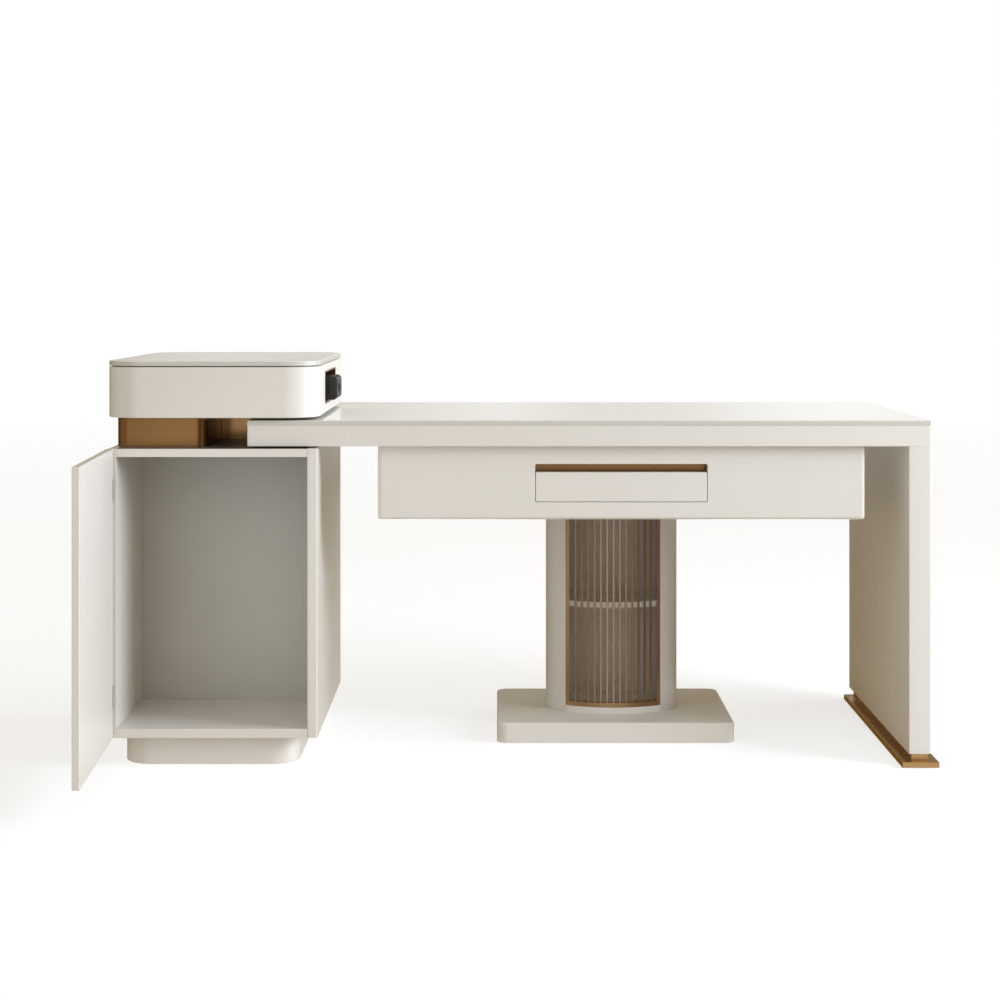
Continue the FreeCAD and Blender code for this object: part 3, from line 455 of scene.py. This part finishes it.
def screw_heads(name, spots, body):
    """Countersunk heads with a cross recess, standing just proud of a face that looks backward."""
    radius = 4.2 * MM
    proud = 0.9 * MM
    web = 0.35 * MM
    reach = Vector((2.6 * MM, 0, 0.55 * MM))

    def heads(shape):
        for spot in spots:
            add_rod(shape, spot, spot + proud * BACKWARD, radius, 28)

    screws = new_object(name, mesh_from(name, heads))
    for arm in (reach, reach.zyx):

        def slots(shape, arm=arm):
            for spot in spots:
                low = spot - arm + web * BACKWARD
                add_block(shape, low, spot + arm + 2 * proud * BACKWARD)

        carve(screws, "slot", slots)
    round_over(screws, 0.18 * MM, 2)
    make_piece(screws, body, "steel_hardware")


def cover_caps(name, spots, body):
    """Round press-in caps over the screws in a face that looks backward."""
    radius = 6 * MM
    proud = 1.2 * MM

    def caps(shape):
        for spot in spots:
            add_rod(shape, spot, spot + proud * BACKWARD, radius, 36)

    covers = new_object(name, mesh_from(name, caps))
    round_over(covers, 0.5 * MM)
    make_piece(covers, body, "slip_plastic")


def rear_fixings():
    """Screws round the cabinet's back, and caps where the apron's back is screwed to its boards."""
    low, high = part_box("cabinet_outer_back")
    margin = 16 * MM
    rows = 5
    row_pitch = (high.z - low.z - 2 * margin) / (rows - 1)
    screws = []
    for x in (low.x + margin, high.x - margin):
        for row in range(rows):
            screws.append(Vector((x, high.y, low.z + margin + row_pitch * row)))
    for z in (low.z + margin, high.z - margin):
        screws.append(Vector(((low.x + high.x) / 2, high.y, z)))
    screw_heads("back_panel_screws", screws, "side_cabinet")

    low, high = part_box("apron_back")
    boards = ("apron_left_side", "drawer_carrier_left", "drawer_carrier_right", "apron_right_side")
    shares_of_height = (0.25, 0.75)
    caps = []
    for board in boards:
        near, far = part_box(board)
        for share in shares_of_height:
            caps.append(Vector(((near.x + far.x) / 2, high.y, low.z + (high.z - low.z) * share)))
    cover_caps("apron_back_caps", caps, "desk")


def gland_cap():
    """The gland's hexagonal nut and domed cap, with a clear bore for the lead."""
    low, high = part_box("cable_gland")
    face = Vector(((low.x + high.x) / 2, high.y, (low.z + high.z) / 2))
    nut = 4 * MM
    nut_radius = 10.5 * MM
    dome = 8 * MM
    dome_radius = 7.6 * MM
    bore_radius = 4 * MM

    def body(shape):
        add_rod(shape, face, face + nut * BACKWARD, nut_radius, 6)
        add_rod(shape, face + nut * BACKWARD, face + (nut + dome) * BACKWARD, dome_radius)

    def hole(shape):
        add_rod(shape, face - dome * BACKWARD, face + 2 * (nut + dome) * BACKWARD, bore_radius)

    cap = new_object("gland_cap", mesh_from("gland_cap", body))
    carve(cap, "bore", hole)
    round_over(cap, 1.1 * MM)
    make_piece(cap, "side_cabinet", "black_plastic")


# --- stage, light and camera -----------------------------------------------------------------------

def studio_floor():
    """A pale floor that fades into the white behind it. The lower sky lights the object in its place."""
    reach = 14.0
    fade_start = 4.0
    fade_end = 12.0

    def disc(shape):
        bmesh.ops.create_circle(shape, cap_ends=True, radius=reach, segments=96)

    floor = new_object("studio_floor", mesh_from("studio_floor", disc))
    shader = Shader("studio_floor")
    cloud = shader.noise(0.6)
    shader.finish(shader.mix(shader.span(cloud, 0.0, 1.0), (0.50, 0.53, 0.565), (0.52, 0.55, 0.585)),
                  shader.span(cloud, 0.6, 0.7))
    shader.set(Emission_Color=(1.0, 1.0, 1.0, 1.0), Emission_Strength=0.64)
    shader.fade_out(fade_start, fade_end)
    floor.data.materials.append(shader.material)
    floor.visible_diffuse = False
    floor.visible_glossy = False
    floor.visible_shadow = False


class Sky:
    """The world's light: a warm, dim surround, with lobes of clean light in given directions."""

    def __init__(self):
        world = bpy.data.worlds.new("studio_sky")
        bpy.context.scene.world = world
        world.use_nodes = True
        self.tree = world.node_tree
        self.direction = self.tree.nodes.new("ShaderNodeTexCoord").outputs["Generated"]

    def lobe(self, towards, edge, core, strength):
        """Light round one direction: none past the edge angle, full inside the core angle."""
        turn = self.tree.nodes.new("ShaderNodeVectorMath")
        turn.operation = "DOT_PRODUCT"
        turn.inputs[1].default_value = Vector(towards).normalized()
        self.tree.links.new(self.direction, turn.inputs[0])
        fade = self.tree.nodes.new("ShaderNodeMapRange")
        fade.interpolation_type = "SMOOTHSTEP"
        fade.inputs["From Min"].default_value = math.cos(math.radians(edge))
        fade.inputs["From Max"].default_value = math.cos(math.radians(core))
        fade.inputs["To Min"].default_value = 0.0
        fade.inputs["To Max"].default_value = strength
        self.tree.links.new(turn.outputs["Value"], fade.inputs["Value"])
        return fade.outputs["Result"]

    def background(self, colour, strength):
        made = self.tree.nodes.new("ShaderNodeBackground")
        made.inputs["Color"].default_value = (*colour, 1)
        if isinstance(strength, float):
            made.inputs["Strength"].default_value = strength
        else:
            self.tree.links.new(strength, made.inputs["Strength"])
        return made.outputs["Background"]

    def shine(self, surround, surround_colour, clean_colour, lobes):
        """Light the object with the surround and the lobes, and show plain white behind it."""
        total = self.lobe(*lobes[0])
        for lobe in lobes[1:]:
            sum_node = self.tree.nodes.new("ShaderNodeMath")
            sum_node.operation = "ADD"
            self.tree.links.new(total, sum_node.inputs[0])
            self.tree.links.new(self.lobe(*lobe), sum_node.inputs[1])
            total = sum_node.outputs["Value"]
        light = self.tree.nodes.new("ShaderNodeAddShader")
        self.tree.links.new(self.background(surround_colour, surround), light.inputs[0])
        self.tree.links.new(self.background(clean_colour, total), light.inputs[1])
        seen = self.tree.nodes.new("ShaderNodeMixShader")
        camera_ray = self.tree.nodes.new("ShaderNodeLightPath").outputs["Is Camera Ray"]
        self.tree.links.new(camera_ray, seen.inputs[0])
        self.tree.links.new(light.outputs[0], seen.inputs[1])
        self.tree.links.new(self.background((1.0, 1.0, 1.0), 1.0), seen.inputs[2])
        self.tree.links.new(seen.outputs[0], self.tree.nodes["World Output"].inputs["Surface"])


def soft_light(name, spot, aim, size, power, colour):
    """A rectangular lamp, aimed at a point, that doesn't show in reflections."""
    lamp = bpy.data.lights.new(name, "AREA")
    lamp.shape = "RECTANGLE"
    lamp.size, lamp.size_y = size
    lamp.energy = power
    lamp.color = colour
    thing = new_object(name, lamp)
    thing.location = spot
    thing.rotation_euler = (Vector(aim) - Vector(spot)).to_track_quat("-Z", "Y").to_euler()
    thing.visible_glossy = False


def lights():
    """Each lobe is its direction, edge angle and core angle in degrees, and strength."""
    clean = (0.92, 1.0, 1.1)
    warm = (1.0, 0.6, 0.03)
    surround = 0.195
    low_front = ((0, -0.6, -0.8), 50, 12, 0.65)
    front = ((0, -1, 0.08), 35, 8, 0.84)
    left_front = ((-0.8, -0.6, 0.1), 38, 10, 0.22)
    left = ((-1, -0.1, 0), 16, 5, 0.3)
    right = ((1, 0.1, 0.2), 40, 10, 3.43)
    high_front = ((0, -0.65, 0.75), 45, 10, 0.46)
    high_left = ((-0.75, -0.4, 0.6), 40, 10, 0.79)
    behind_left = ((-0.45, 1, 0.03), 18, 6, 0.11)
    behind_right = ((0.45, 1, 0.03), 18, 6, 0.42)
    behind = [((side, 1, 0.05), 10, 3, strength) for side, strength in (
        (-0.21, 0.14), (-0.07, 0.44), (0.07, 0.36), (0.21, 0.47))]
    low_behind = ((0, 0.75, -0.65), 20, 8, 7.0)
    Sky().shine(surround, warm, clean, [
        low_front, front, left_front, left, right, high_front, high_left, behind_left, behind_right, *behind,
        low_behind])
    soft_light("right_softbox", (3.4, -1.6, 1.8), (0.0, -0.1, 0.5), (1.6, 1.6), 110.0, clean)


def camera():
    """A level view square to the table's front, with the picture shifted down."""
    eye_height = 1.0216
    eye_from_front = 4.2
    eye_to_left = 0.264
    level = math.radians(90)
    lens = bpy.data.cameras.new("camera")
    lens.sensor_width = 36.0
    lens.lens = 69.876
    lens.shift_y = -0.205
    thing = new_object("camera", lens)
    desk_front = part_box("desktop_panel")[0].y
    thing.location = (-eye_to_left, desk_front - eye_from_front, eye_height)
    thing.rotation_euler = (level, 0, 0)
    bpy.context.scene.camera = thing


carried_over()
eased_pieces()
power_module()
rear_fixings()
gland_cap()
studio_floor()
lights()
camera()
bpy.context.scene.view_settings.view_transform = "Standard"
